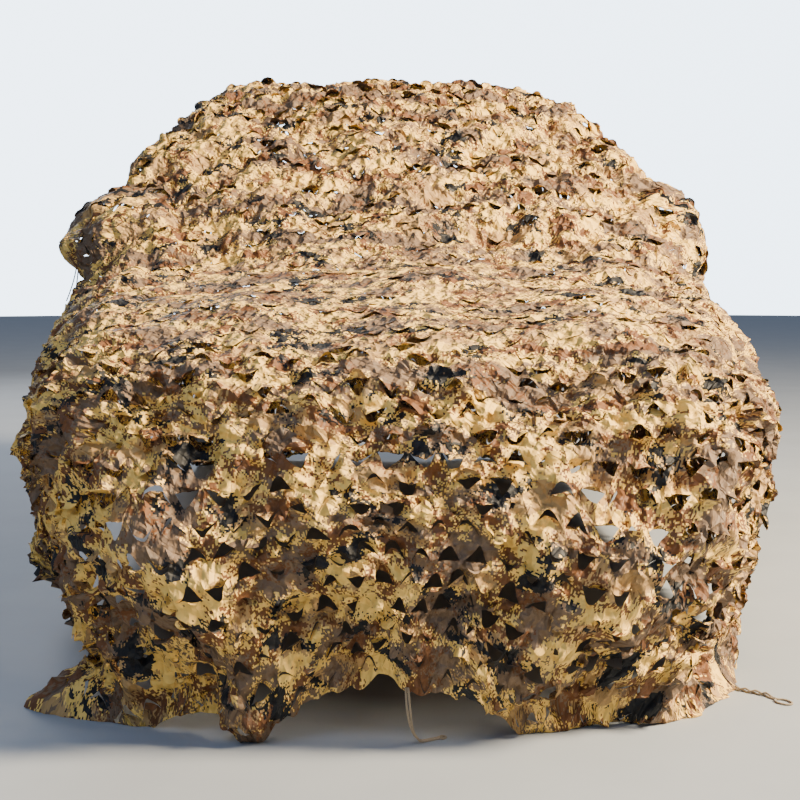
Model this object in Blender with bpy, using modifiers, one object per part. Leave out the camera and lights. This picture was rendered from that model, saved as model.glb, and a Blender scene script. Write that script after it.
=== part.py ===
"""A leaf-cut camouflage net, draped over a car that is left out, with its tie cords.

The net is one cloth sheet 3 mm thick in the shape it takes over bonnet, windscreen, mirrors,
roof and tail, down to a hem that partly lies on the floor. Metres, +Z up, the front to -Y,
the floor at z = 0. `back` is always the distance behind the foremost point of the car.
"""

from collections import namedtuple

import bpy
import numpy as np
from mathutils import Vector
from mathutils.bvhtree import BVHTree

for item in list(bpy.data.objects):
    bpy.data.objects.remove(item, do_unlink=True)

# ---------------------------------------------------------------- driving dimensions
# The leaf cuts repeat every 67 mm across and 53 mm along; a quad of the grid spans two of each.
SHEET = 0.003
FRONT_TO_MIDDLE = 2.21
QUADS_ACROSS = 20
QUADS_BONNET = 10
QUADS_BEHIND = 26
QUADS_DOWN = 6
LAID_FLAT_UNDER = 0.004
ROUND_ACROSS = 0.11
ROUND_ALONG = 0.17
ROUND_DOWN = 0.12
ROUND_HEM = 0.014
GAP_WIDTH = 0.036
GAP_HEIGHT = 0.021
GAP_ARCH = 0.45
GAP_ROWS_ABOVE_LIP = 5
TIE = 0.0046
THIN_TIE = 0.0036
TIE_APART = 0.0062
HEM_TIE_CLEAR = 0.0013
EAR_TIE_CLEAR = 0.0025
TIE_UNDER_MIRROR = 0.975
PIECES_APART = 0.0004
UNEVEN = 0.011

Section = namedtuple(
    "Section", "name back top edge_x edge_z shoulder_x shoulder_z side_x side_z wrap"
)
SECTIONS = [
    Section("lip", 0.01, 0.62, 0.58, 0.61, 0.78, 0.56, 0.855, 0.38, 0.56),
    Section("grille top", 0.05, 0.73, 0.60, 0.72, 0.81, 0.64, 0.875, 0.41, 0.52),
    Section("bonnet edge", 0.16, 0.80, 0.64, 0.79, 0.84, 0.70, 0.89, 0.42, 0.45),
    Section("bonnet", 0.60, 0.92, 0.72, 0.89, 0.885, 0.76, 0.90, 0.42, 0.28),
    Section("cowl", 1.13, 1.01, 0.78, 0.97, 0.90, 0.87, 0.90, 0.55, 0.12),
    Section("windscreen", 1.55, 1.28, 0.76, 1.25, 0.885, 1.07, 0.90, 0.68, 0.06),
    Section("roof front", 2.02, 1.57, 0.67, 1.53, 0.83, 1.28, 0.91, 0.84, 0.02),
    Section("crown", 2.50, 1.66, 0.68, 1.61, 0.83, 1.31, 0.91, 0.88, 0.00),
    Section("roof rear", 3.45, 1.61, 0.65, 1.56, 0.81, 1.28, 0.91, 0.88, -0.04),
    Section("rear glass", 4.02, 1.20, 0.68, 1.16, 0.86, 0.99, 0.91, 0.62, -0.20),
    Section("tail", 4.32, 0.94, 0.64, 0.92, 0.84, 0.83, 0.90, 0.52, -0.46),
    Section("tail lip", 4.40, 0.70, 0.62, 0.69, 0.82, 0.62, 0.89, 0.44, -0.50),
]
WRAP_SHARES = (0.0, 0.06, 0.36, 1.0)

# Round the hem, turn goes 0 to 4: front, right side, tail, left side, from the front left corner.
Hem = namedtuple("Hem", "name turn foot_x foot_back foot_z tip_x tip_back tip_z puff")
HEMS = [
    Hem("left ear", 0.000, -0.650, 0.370, 0.04, -0.835, 0.335, 0.000, 0.035),
    Hem("left ear front", 0.050, -0.630, 0.300, 0.02, -0.720, 0.235, 0.000, 0.050),
    Hem("left ear root", 0.100, -0.585, 0.240, 0.01, -0.600, 0.185, 0.000, 0.040),
    Hem("left foot", 0.140, -0.535, 0.170, 0.02, -0.540, 0.170, 0.000, 0.020),
    Hem("left arch", 0.205, -0.455, 0.090, 0.12, -0.455, 0.110, 0.050, 0.000),
    Hem("left arch end", 0.260, -0.380, 0.050, 0.10, -0.380, 0.080, 0.043, 0.000),
    Hem("left dip", 0.300, -0.325, 0.030, 0.06, -0.325, 0.050, 0.000, 0.000),
    Hem("left dip end", 0.330, -0.285, 0.020, 0.08, -0.285, 0.055, 0.000, 0.000),
    Hem("left rise", 0.365, -0.235, 0.000, 0.16, -0.235, 0.040, 0.080, 0.000),
    Hem("middle left", 0.420, -0.130, -0.015, 0.24, -0.130, 0.025, 0.112, 0.000),
    Hem("notch", 0.465, -0.050, -0.020, 0.28, -0.050, 0.020, 0.158, 0.000),
    Hem("middle", 0.510, 0.015, -0.020, 0.28, 0.015, 0.020, 0.126, 0.000),
    Hem("middle right", 0.560, 0.100, -0.020, 0.26, 0.100, 0.020, 0.136, 0.000),
    Hem("right fall", 0.605, 0.165, -0.010, 0.18, 0.165, 0.040, 0.072, 0.000),
    Hem("right dip", 0.650, 0.225, 0.020, 0.08, 0.225, 0.075, 0.008, 0.000),
    Hem("right run", 0.700, 0.300, 0.060, 0.04, 0.300, 0.105, 0.000, 0.010),
    Hem("right run", 0.780, 0.420, 0.100, 0.03, 0.420, 0.150, 0.000, 0.020),
    Hem("right foot", 0.860, 0.545, 0.130, 0.03, 0.550, 0.150, 0.000, 0.035),
    Hem("right ear root", 0.910, 0.600, 0.200, 0.03, 0.620, 0.205, 0.000, 0.045),
    Hem("right ear front", 0.955, 0.635, 0.290, 0.02, 0.690, 0.290, 0.000, 0.045),
    Hem("right ear", 1.000, 0.690, 0.400, 0.03, 0.760, 0.400, 0.000, 0.030),
    Hem("right wing", 1.040, 0.790, 0.520, 0.10, 0.790, 0.510, 0.020, 0.000),
    Hem("right wheel", 1.110, 0.865, 0.740, 0.22, 0.865, 0.740, 0.080, 0.000),
    Hem("right sill", 1.350, 0.910, 1.600, 0.26, 0.910, 1.600, 0.100, 0.000),
    Hem("right sill", 1.700, 0.920, 3.000, 0.26, 0.920, 3.000, 0.120, 0.000),
    Hem("right tail", 1.930, 0.910, 3.900, 0.22, 0.910, 3.940, 0.060, 0.000),
    Hem("tail right", 2.000, 0.820, 4.160, 0.03, 0.880, 4.240, 0.000, 0.020),
    Hem("tail right run", 2.140, 0.620, 4.350, 0.02, 0.620, 4.400, 0.000, 0.010),
    Hem("tail middle", 2.500, 0.000, 4.430, 0.24, 0.000, 4.410, 0.110, 0.000),
    Hem("tail left run", 2.860, -0.620, 4.350, 0.02, -0.620, 4.400, 0.000, 0.010),
    Hem("tail left", 3.000, -0.820, 4.160, 0.03, -0.880, 4.240, 0.000, 0.020),
    Hem("left tail", 3.070, -0.910, 3.900, 0.22, -0.910, 3.940, 0.070, 0.000),
    Hem("left sill", 3.300, -0.920, 3.000, 0.26, -0.920, 3.000, 0.150, 0.000),
    Hem("left sill", 3.620, -0.910, 1.700, 0.28, -0.910, 1.700, 0.170, 0.000),
    Hem("left wheel", 3.850, -0.870, 0.840, 0.34, -0.870, 0.820, 0.200, 0.000),
    Hem("left wing", 3.910, -0.805, 0.640, 0.26, -0.800, 0.620, 0.160, 0.000),
    Hem("left wing front", 3.945, -0.735, 0.520, 0.20, -0.725, 0.490, 0.130, 0.000),
    Hem("neck", 3.975, -0.655, 0.420, 0.12, -0.645, 0.385, 0.060, 0.000),
]

# Bulges over what lies under the net, pushed out by out_x, out_y and out_z at their middle.
Bulge = namedtuple("Bulge", "name x back z wide tall out_x out_y out_z")
BULGES = [
    Bulge("left mirror", -0.90, 1.52, 1.08, 0.22, 0.13, -0.11, -0.03, 0.01),
    Bulge("right mirror", 0.90, 1.52, 1.06, 0.23, 0.16, 0.09, -0.03, 0.01),
    Bulge("windscreen sag", 0.00, 1.30, 1.12, 0.45, 0.16, 0.00, -0.03, 0.01),
]

# Folds that run down the skirt, deepest at the hem; `turn` and `wide` are in turns of the hem.
Fold = namedtuple("Fold", "name turn wide out from_top")
FOLDS = [
    Fold("ear crease", 0.10, 0.030, 0.035, 0.35),
    Fold("dip left", 0.24, 0.022, -0.030, 0.45),
    Fold("dip right", 0.31, 0.022, 0.034, 0.45),
    Fold("middle left", 0.40, 0.025, -0.022, 0.55),
    Fold("middle right", 0.57, 0.025, 0.026, 0.55),
    Fold("right hollow", 0.72, 0.028, -0.024, 0.40),
    Fold("right ridge", 0.84, 0.018, 0.036, 0.30),
    Fold("right ear crease", 0.90, 0.020, -0.026, 0.35),
    Fold("side", 1.22, 0.035, 0.030, 0.30),
    Fold("side", 1.50, 0.040, -0.024, 0.30),
    Fold("side", 1.78, 0.035, 0.030, 0.30),
    Fold("tail", 2.25, 0.045, 0.030, 0.30),
    Fold("tail", 2.68, 0.045, 0.028, 0.30),
    Fold("side", 3.20, 0.035, 0.028, 0.30),
    Fold("side", 3.48, 0.040, -0.024, 0.30),
    Fold("side", 3.74, 0.030, 0.030, 0.30),
]

# Shallow waves of the whole cloth: a wave's length and its direction in space.
Wave = namedtuple("Wave", "length x y z start")
WAVES = [
    Wave(0.62, 0.80, 0.60, 0.20, 0.3),
    Wave(0.47, -0.55, 0.80, 0.40, 1.9),
    Wave(0.36, 0.90, -0.20, 0.70, 4.1),
    Wave(0.29, 0.25, 0.95, -0.50, 2.6),
]

# ---------------------------------------------------------------- the drape
WINDOW = [(offset / 3, 1 - abs(offset) / 4) for offset in range(-3, 4)]
WINDOW_SUM = sum(weight for _, weight in WINDOW)


def along(points, shares, at):
    """The place at `at` on a polyline through points, carried straight on past both ends."""
    place = points[0]
    last = len(points) - 2
    for k in range(last + 1):
        low = -np.inf if k == 0 else 0.0
        high = np.inf if k == last else 1.0
        part = np.clip((at - shares[k]) / (shares[k + 1] - shares[k]), low, high)
        place = place + part[..., None] * (points[k + 1] - points[k])
    return place


def rounded(points, shares, at, reach):
    """The same polyline with its corners rounded by averaging over `reach` to each side."""
    total = sum(weight * along(points, shares, at + reach * offset) for offset, weight in WINDOW)
    return total / WINDOW_SUM


def shares_of(points):
    """How far along a polyline each of its points lies, from 0 to 1."""
    steps = np.linalg.norm(np.diff(points, axis=0), axis=-1)
    reached = np.concatenate([np.zeros_like(steps[:1]), np.cumsum(steps, axis=0)])
    return reached / reached[-1]


CONTROLS = np.array(
    [
        [
            (0.0, s.back, s.top),
            (s.edge_x, s.back + WRAP_SHARES[1] * s.wrap, s.edge_z),
            (s.shoulder_x, s.back + WRAP_SHARES[2] * s.wrap, s.shoulder_z),
            (s.side_x, s.back + WRAP_SHARES[3] * s.wrap, s.side_z),
        ]
        for s in SECTIONS
    ]
).transpose(1, 0, 2)
CONTROL_SHARES = shares_of(CONTROLS)
CENTRE_STEPS = np.linalg.norm(np.diff(CONTROLS[0], axis=0), axis=-1)
STATIONS = np.concatenate([[0.0], np.cumsum(CENTRE_STEPS)])
LENGTH = STATIONS[-1]
COWL_AT = STATIONS[[s.name for s in SECTIONS].index("cowl")]


def top_at(across, down):
    """The drape's upper part: across from -1 to 1, down the car from 0 to LENGTH."""
    rows = 0.0
    for offset, weight in WINDOW:
        reach = across + ROUND_ACROSS * offset
        side = along(CONTROLS[:, :, None], CONTROL_SHARES[:, :, None], np.abs(reach))
        side[..., 0] *= np.sign(reach)
        rows = rows + weight / WINDOW_SUM * side
    return rounded(rows, STATIONS[:, None], down, ROUND_ALONG)


def border_at(turn):
    """Across and down of the upper part's border at each turn."""
    turn = turn % 4.0
    leg = np.floor(turn).astype(int)
    share = turn - leg
    across = np.choose(leg, [2 * share - 1, 1.0 + 0 * share, 1 - 2 * share, -1.0 + 0 * share])
    down = LENGTH * np.choose(leg, [0 * share, share, 1.0 + 0 * share, 1 - share])
    return across, down


def leaving_at(turn):
    """The way in which the cloth leaves the border, outwards."""
    across, down = border_at(turn)
    leg = np.floor(turn % 4.0).astype(int)
    in_across = np.choose(leg, [0.0, -0.04, 0.0, 0.04])
    in_down = np.choose(leg, [0.04, 0.0, -0.04, 0.0])
    way = top_at(across, down) - top_at(across + in_across, down + in_down)
    return way / np.linalg.norm(way, axis=-1, keepdims=True)


HEM_TURNS = np.array([h.turn for h in HEMS])
HEM_TURNS = np.concatenate([HEM_TURNS[-1:] - 4, HEM_TURNS, HEM_TURNS[:2] + 4])
FEET = np.array([(h.foot_x, h.foot_back, h.foot_z) for h in HEMS])
FEET = np.concatenate([FEET[-1:], FEET, FEET[:2]])
TIPS = np.array([(h.tip_x, h.tip_back, h.tip_z) for h in HEMS])
TIPS = np.concatenate([TIPS[-1:], TIPS, TIPS[:2]])

PUFFS = np.array([(h.puff,) for h in HEMS])
PUFFS = np.concatenate([PUFFS[-1:], PUFFS, PUFFS[:2]])


def skirt_at(turn, down):
    """The drape's skirt: turn round the border, down from 0 at the border to 1 at the hem."""
    start = top_at(*border_at(turn))
    way = sum(weight * leaving_at(turn + 0.05 * offset) for offset, weight in WINDOW)
    way /= np.linalg.norm(way, axis=-1, keepdims=True)
    foot = rounded(FEET, HEM_TURNS, turn % 4.0, ROUND_HEM)
    tip = rounded(TIPS, HEM_TURNS, turn % 4.0, ROUND_HEM)
    carried = 0.42 * np.linalg.norm(foot - start, axis=-1, keepdims=True)
    controls = np.stack([start, start + way * carried, foot, tip])
    place = rounded(controls, shares_of(controls), down, ROUND_DOWN)
    puffed = rounded(PUFFS, HEM_TURNS, turn % 4.0, ROUND_HEM)
    place[..., 2] += puffed[..., 0] * np.sin(np.pi * np.clip((down - 0.6) / 0.4, 0, 1))
    facing = np.cross([0.0, 0.0, -1.0], hem_way(turn))
    out = 0.0
    for fold in FOLDS:
        apart = (turn - fold.turn + 2) % 4 - 2
        grown = np.clip((down - fold.from_top) / (1 - fold.from_top), 0, 1)
        out = out + fold.out * np.exp(-((apart / fold.wide) ** 2)) * grown
    on_floor = np.clip(place[..., 2:] / 0.05, 0, 1)
    return place + out[..., None] * facing * on_floor


def hem_way(turn):
    """The level direction in which the hem runs."""
    step = rounded(FEET, HEM_TURNS, turn % 4.0 + 0.02, 0.06)
    step = step - rounded(FEET, HEM_TURNS, turn % 4.0 - 0.02, 0.06)
    step[..., 2] = 0
    return step / np.linalg.norm(step, axis=-1, keepdims=True)


def settled(place, normal):
    """Adds the bulges and shallow waves, then lays flat what is at the floor."""
    for b in BULGES:
        apart = (place - (b.x, b.back, b.z)) / (b.wide, b.wide, b.tall)
        near = np.exp(-((apart**2).sum(axis=-1) ** 2))[..., None]
        place = place + near * np.array([b.out_x, b.out_y, b.out_z])
    wave = 0.0
    for w in WAVES:
        wave = wave + np.sin(2 * np.pi * (place @ np.array([w.x, w.y, w.z])) / w.length + w.start)
    free = np.clip(place[..., 2:] / 0.10, 0, 1)
    place = place + UNEVEN * 0.5 * wave[..., None] * normal * free
    place[..., 2] = np.maximum(place[..., 2] - LAID_FLAT_UNDER, 0)
    place[..., 1] -= FRONT_TO_MIDDLE
    return place


# ---------------------------------------------------------------- the net's grid
across_steps = np.linspace(-1, 1, QUADS_ACROSS + 1)
down_steps = np.concatenate(
    [
        np.linspace(0, COWL_AT, QUADS_BONNET + 1)[:-1],
        np.linspace(COWL_AT, LENGTH, QUADS_BEHIND + 1),
    ]
)
quads_along = len(down_steps) - 1
side_turns = down_steps[:-1] / LENGTH
front_turns = np.arange(QUADS_ACROSS) / QUADS_ACROSS
turns = np.concatenate([front_turns, 1 + side_turns, 2 + front_turns, 4 - down_steps[:0:-1] / LENGTH])
columns = len(turns)

across, down = np.meshgrid(across_steps, down_steps, indexing="ij")
top_points = top_at(across.ravel(), down.ravel())
top_index = np.arange(len(top_points)).reshape(across.shape)

turn, depth = np.meshgrid(turns, np.arange(1, QUADS_DOWN + 1) / QUADS_DOWN, indexing="ij")
skirt_points = skirt_at(turn.ravel(), depth.ravel())
below_index = len(top_points) + np.arange(len(skirt_points)).reshape(turn.shape)
border_index = np.concatenate(
    [top_index[:-1, 0], top_index[-1, :-1], top_index[:0:-1, -1], top_index[0, :0:-1]]
)
skirt_index = np.concatenate([border_index[:, None], below_index], axis=1)


def quads_of(index):
    """Corner indices of a grid's quads, one row each."""
    return np.stack([index[:-1, :-1], index[1:, :-1], index[1:, 1:], index[:-1, 1:]], axis=-1)


top_quads = quads_of(top_index)
closed_skirt = np.concatenate([skirt_index, skirt_index[:1]])
skirt_quads = quads_of(closed_skirt)[..., ::-1]
points = np.concatenate([top_points, skirt_points])
quads = np.concatenate([top_quads.reshape(-1, 4), skirt_quads.reshape(-1, 4)])

corners = points[quads]
face_normals = np.cross(corners[:, 2] - corners[:, 0], corners[:, 3] - corners[:, 1])
normals = np.zeros_like(points)
for corner in range(4):
    np.add.at(normals, quads[:, corner], face_normals)
normals /= np.linalg.norm(normals, axis=1, keepdims=True)
points = settled(points, normals)

# ---------------------------------------------------------------- gaps cut through at the front
top_cut = np.zeros(top_quads.shape[:2], bool)
top_cut[2 : QUADS_ACROSS - 2, :GAP_ROWS_ABOVE_LIP] = True
skirt_cut = np.zeros(skirt_quads.shape[:2], bool)
skirt_cut[1 : QUADS_ACROSS - 1, : QUADS_DOWN - 1] = True
cut = np.concatenate([top_cut.ravel(), skirt_cut.ravel()])


def gap_corners(quad, points_up):
    """The four corners of one arched gap: left, crest, right and the arch's inner bend."""
    low_left, low_right, high_right, high_left = points[quad]
    middle = points[quad].mean(axis=0)
    sideways = low_right + high_right - low_left - high_left
    sideways /= np.linalg.norm(sideways)
    upwards = high_left + high_right - low_left - low_right
    upwards -= (upwards @ sideways) * sideways
    upwards /= np.linalg.norm(upwards) * (1 if points_up else -1)
    rise = GAP_HEIGHT * (1 - GAP_ARCH) / 2
    return [
        middle - sideways * GAP_WIDTH / 2 - upwards * rise,
        middle + upwards * GAP_HEIGHT / 2,
        middle + sideways * GAP_WIDTH / 2 - upwards * rise,
        middle - upwards * (GAP_HEIGHT / 2 - GAP_HEIGHT * GAP_ARCH),
    ]


all_points = [tuple(p) for p in points]
faces = []
for number, quad in enumerate(quads):
    if not cut[number]:
        faces.append(tuple(int(i) for i in quad))
        continue
    # Each quad is turned so that its first edge is the low one.
    on_skirt = number >= top_quads.shape[0] * top_quads.shape[1]
    quad = quad[[3, 0, 1, 2]] if on_skirt else quad
    points_up = bool((number + number // QUADS_DOWN) % 2)
    left, crest, right, bend = range(len(all_points), len(all_points) + 4)
    all_points.extend(tuple(p) for p in gap_corners(quad, points_up))
    if not points_up:
        crest, bend = bend, crest
    a, b, c, d = (int(i) for i in quad)
    faces.extend(
        [
            (a, b, bend),
            (a, bend, left),
            (b, right, bend),
            (b, c, right),
            (c, crest, right),
            (c, d, crest),
            (d, left, crest),
            (d, a, left),
        ]
    )

# ---------------------------------------------------------------- the object
collection = bpy.data.collections.new("camouflage_net")
bpy.context.scene.collection.children.link(collection)


def plain_material(name, colour, roughness):
    material = bpy.data.materials.new(name)
    material.use_nodes = True
    shader = material.node_tree.nodes["Principled BSDF"]
    shader.inputs["Base Color"].default_value = (*colour, 1)
    shader.inputs["Roughness"].default_value = roughness
    return material


mesh = bpy.data.meshes.new("net")
mesh.from_pydata(all_points, [], faces)
mesh.update()
net = bpy.data.objects.new("net", mesh)
net.data.materials.append(plain_material("net_cloth", (0.45, 0.33, 0.17), 0.85))
collection.objects.link(net)
shell = net.modifiers.new("thickness", "SOLIDIFY")
shell.thickness = SHEET
shell.offset = 1.0
shell.use_even_offset = False

# The hem's outer edge is trimmed level with the floor on which it stands.
thick = bpy.data.meshes.new_from_object(net.evaluated_get(bpy.context.evaluated_depsgraph_get()))
net.modifiers.remove(shell)
net.data = thick
for vertex in thick.vertices:
    vertex.co.z = max(vertex.co.z, 0.0)

# ---------------------------------------------------------------- the tie cords
def add_cord(name, places, thick, material):
    """A round cord along places, with flat ends."""
    curve = bpy.data.curves.new(name, "CURVE")
    curve.dimensions = "3D"
    curve.bevel_depth = thick / 2
    curve.bevel_resolution = 2
    curve.use_fill_caps = True
    spline = curve.splines.new("POLY")
    spline.points.add(len(places) - 1)
    for point, place in zip(spline.points, places):
        point.co = (*place, 1)
    cord = bpy.data.objects.new(name, curve)
    cord.data.materials.append(material)
    collection.objects.link(cord)
    return cord


def doubled(route, steps, turns_of_twist, loop_long, loop_wide, loop_steps):
    """Out along a route, round a loop at its end and back, the two strands twisted together."""
    route = np.array(route)
    share = np.linspace(0, 1, steps)
    middle = rounded(route[:, None], shares_of(route[:, None]), share, 0.06)
    ahead = np.gradient(middle, axis=0)
    ahead /= np.linalg.norm(ahead, axis=1, keepdims=True)
    level = np.clip(share / 0.7, 0, 1)[:, None]
    sideways = np.cross(ahead, (1 - level) * [1.0, 1.0, 0.0] + level * [0.0, 0.0, 1.0])
    sideways /= np.linalg.norm(sideways, axis=1, keepdims=True)
    upwards = np.cross(sideways, ahead)
    angle = (2 * np.pi * turns_of_twist * np.clip(share / 0.8, 0, 1))[:, None]
    strand = TIE_APART / 2 * (np.cos(angle) * sideways + np.sin(angle) * upwards)
    opening = np.arcsin(TIE_APART / loop_wide)
    round_loop = np.linspace(np.pi - opening, opening - np.pi, loop_steps)[1:-1, None]
    centre = middle[-1] + ahead[-1] * loop_long / 2 * np.cos(opening)
    loop = centre + loop_long / 2 * np.cos(round_loop) * ahead[-1]
    loop = loop + loop_wide / 2 * np.sin(round_loop) * strand[-1] / (TIE_APART / 2)
    loop[:, 2] -= (TIE_APART / 2) * (1 + np.cos(round_loop[:, 0])) / 2
    return np.concatenate([middle + strand, loop, (middle - strand)[::-1]])


cord_stuff = plain_material("tie_cord", (0.30, 0.24, 0.15), 0.9)
thin_stuff = plain_material("thin_tie_cord", (0.06, 0.055, 0.05), 0.9)
lying = TIE / 2 + TIE_APART / 2

# From the middle of the front hem straight down, then a hand's breadth along the floor.
hem_end = points[skirt_index[QUADS_ACROSS // 2, -1]]
hem_route = [
    hem_end + (0.000, 0.000, -HEM_TIE_CLEAR),
    hem_end + (0.004, 0.004, -0.060),
    (hem_end[0] + 0.010, hem_end[1] + 0.014, lying + 0.030),
    (hem_end[0] + 0.022, hem_end[1] + 0.032, lying),
    (hem_end[0] + 0.048, hem_end[1] + 0.052, lying),
    (hem_end[0] + 0.066, hem_end[1] + 0.060, lying),
]
add_cord("tie_hem", doubled(hem_route, 22, 2.5, 0.012, 0.011, 5), TIE, cord_stuff)

# From the tip of the right ear out along the floor, ending in an open loop.
ear_end = points[skirt_index[QUADS_ACROSS, -1]]
ear_route = [
    (ear_end[0] + EAR_TIE_CLEAR, ear_end[1] - 0.004, lying),
    (ear_end[0] + 0.030, ear_end[1] - 0.030, lying),
    (ear_end[0] + 0.056, ear_end[1] - 0.052, lying),
    (ear_end[0] + 0.074, ear_end[1] - 0.086, lying),
]
add_cord("tie_corner", doubled(ear_route, 14, 2.0, 0.044, 0.030, 12), TIE, cord_stuff)

# Two loose ends hang under the left mirror bulge, a little apart.
LooseEnd = namedtuple("LooseEnd", "name aside swing drop")
LOOSE_ENDS = [
    LooseEnd("tie_mirror_front", -0.006, -0.032, 0.112),
    LooseEnd("tie_mirror_back", 0.006, -0.015, 0.104),
]
thick.calc_loop_triangles()
surface = BVHTree.FromPolygons(
    [vertex.co for vertex in thick.vertices],
    [triangle.vertices for triangle in thick.loop_triangles],
)
fallen = np.linspace(0, 1, 12)[:, None]
for end in LOOSE_ENDS:
    outside = Vector((-1.2, 1.525 - FRONT_TO_MIDDLE + end.aside, TIE_UNDER_MIRROR))
    hit, slope, _, _ = surface.ray_cast(outside, Vector((1, 0, 0)))
    leaving = np.array(hit + slope * (THIN_TIE / 2 + PIECES_APART))
    along_y = end.aside * 0.5 * fallen
    add_cord(
        end.name,
        leaving + np.hstack([end.swing * fallen**1.5, along_y, -end.drop * fallen]),
        THIN_TIE,
        thin_stuff,
    )
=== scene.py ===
"""Looks of the leaf-cut camouflage net and its tie cords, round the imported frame.

Metres, +Z up, the front to -Y, the floor at z = 0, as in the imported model. `back` is the
distance behind the foremost point of the covered car, which is left out.
"""

from collections import namedtuple

import bpy
import numpy as np
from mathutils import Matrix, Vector


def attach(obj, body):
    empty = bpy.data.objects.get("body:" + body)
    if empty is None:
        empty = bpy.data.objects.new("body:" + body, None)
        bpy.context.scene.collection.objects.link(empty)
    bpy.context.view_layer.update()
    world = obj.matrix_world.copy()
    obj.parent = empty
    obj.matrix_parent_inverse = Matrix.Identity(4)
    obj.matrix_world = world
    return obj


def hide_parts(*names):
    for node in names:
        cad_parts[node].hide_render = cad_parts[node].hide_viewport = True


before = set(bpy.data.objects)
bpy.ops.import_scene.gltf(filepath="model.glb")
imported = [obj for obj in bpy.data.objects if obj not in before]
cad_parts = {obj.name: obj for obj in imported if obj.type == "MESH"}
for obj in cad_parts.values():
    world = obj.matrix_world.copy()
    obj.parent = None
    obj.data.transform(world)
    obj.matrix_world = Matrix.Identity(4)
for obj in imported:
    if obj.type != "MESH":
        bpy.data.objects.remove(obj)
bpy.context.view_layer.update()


# -------------------- camera, floor and light
# The net is seen from the front at waist height, a little from its left, on a pale matt floor.
# A warm soft lamp high on the right gives most of the light, with a faint cool one high in
# front, a plain one behind and an even pale sky.
CAMERA_PLACE = (-0.0902, -4.9983, 0.9554)
CAMERA_TURN = np.radians((90 - 5.191, 0.052, -1.577))
CAMERA_LENS_MM = 64.79

camera_data = bpy.data.cameras.new("camera")
camera_data.lens = CAMERA_LENS_MM
camera_data.sensor_width = 36.0
camera = bpy.data.objects.new("camera", camera_data)
camera.location = CAMERA_PLACE
camera.rotation_euler = CAMERA_TURN
bpy.context.scene.collection.objects.link(camera)
bpy.context.scene.camera = camera


def linear(hex_colour):
    """An sRGB hex colour as linear RGBA: the sRGB curve undone for each channel."""
    channels = [int(hex_colour[k : k + 2], 16) / 255 for k in (1, 3, 5)]
    return [c / 12.92 if c <= 0.04045 else ((c + 0.055) / 1.055) ** 2.4 for c in channels] + [1.0]


def add_node(tree, kind, sockets=(), **settings):
    """Adds a shader node with its settings; an output socket given for an input is linked."""
    node = tree.nodes.new("ShaderNode" + kind)
    for name, value in settings.items():
        setattr(node, name, value)
    for name, value in dict(sockets).items():
        if isinstance(value, bpy.types.NodeSocket):
            tree.links.new(value, node.inputs[name])
        else:
            node.inputs[name].default_value = value
    return node


def maths(tree, kind, operation, *values):
    """The outcome of a Math or VectorMath node whose sockets take the values in order."""
    return add_node(tree, kind, dict(enumerate(values)), operation=operation).outputs[0]


def mixed(tree, share, first, second):
    """The colour that goes from first to second as the share goes from 0 to 1."""
    sockets = {"Factor": share, "A": first, "B": second}
    return add_node(tree, "Mix", sockets, data_type="RGBA").outputs["Result"]


def new_material(name, **shader_values):
    """A material with a Principled shader whose sockets take the values by name."""
    material = bpy.data.materials.new(name)
    material.use_nodes = True
    shader = material.node_tree.nodes["Principled BSDF"]
    for socket, value in shader_values.items():
        shader.inputs[socket.replace("_", " ")].default_value = value
    return material, material.node_tree, shader


# The floor has one coat of matt paint: dull, and a little cloudy between two greys.
FLOOR_HALF = 40.0
CLOUDS_PER_METRE = 3.0
floor_mesh = bpy.data.meshes.new("studio_floor")
around = ((-1, -1), (1, -1), (1, 1), (-1, 1))
corners = [(x * FLOOR_HALF, y * FLOOR_HALF, 0.0) for x, y in around]
floor_mesh.from_pydata(corners, [], [(0, 1, 2, 3)])
floor = bpy.data.objects.new("studio_floor", floor_mesh)
bpy.context.scene.collection.objects.link(floor)
floor_paint, floor_tree, floor_shader = new_material("pale_floor_paint", Roughness=0.7)
floor_place = add_node(floor_tree, "TexCoord")
floor_cloud = add_node(
    floor_tree,
    "TexNoise",
    {"Vector": floor_place.outputs["Object"], "Scale": CLOUDS_PER_METRE, "Detail": 6.0},
)
floor_tone = mixed(floor_tree, floor_cloud.outputs["Fac"], linear("#8B9299"), linear("#99A0A7"))
# Under the net the floor's colour is painted dark: painted shade, as under a car. A smooth
# maximum of x and y as shares of UNDER_HALF rounds the dark part's corners. It is darkest up to
# FULL_SHADE_AT and ends at 1.
UNDER_HALF = (0.84, 2.16, 1.0)
CORNERS_ROUND = 1.3
FULL_SHADE_AT = 0.86
floor_share = maths(
    floor_tree, "VectorMath", "DIVIDE", floor_place.outputs["Object"], UNDER_HALF
)
floor_share = maths(floor_tree, "VectorMath", "ABSOLUTE", floor_share)
floor_sides = add_node(floor_tree, "SeparateXYZ", {"Vector": floor_share}).outputs
floor_reach = maths(
    floor_tree, "Math", "SMOOTH_MAX", floor_sides["X"], floor_sides["Y"], CORNERS_ROUND
)
painted_floor_shade = add_node(
    floor_tree,
    "MapRange",
    {"Value": floor_reach, "From Min": 1.0, "From Max": FULL_SHADE_AT},
)
# The floor goes to a dark grey under the net: painted shade.
floor_colour = mixed(floor_tree, painted_floor_shade.outputs["Result"], floor_tone, linear("#3A3836"))
floor_tree.links.new(floor_colour, floor_shader.inputs["Base Color"])
floor_mesh.materials.append(floor_paint)

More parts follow.
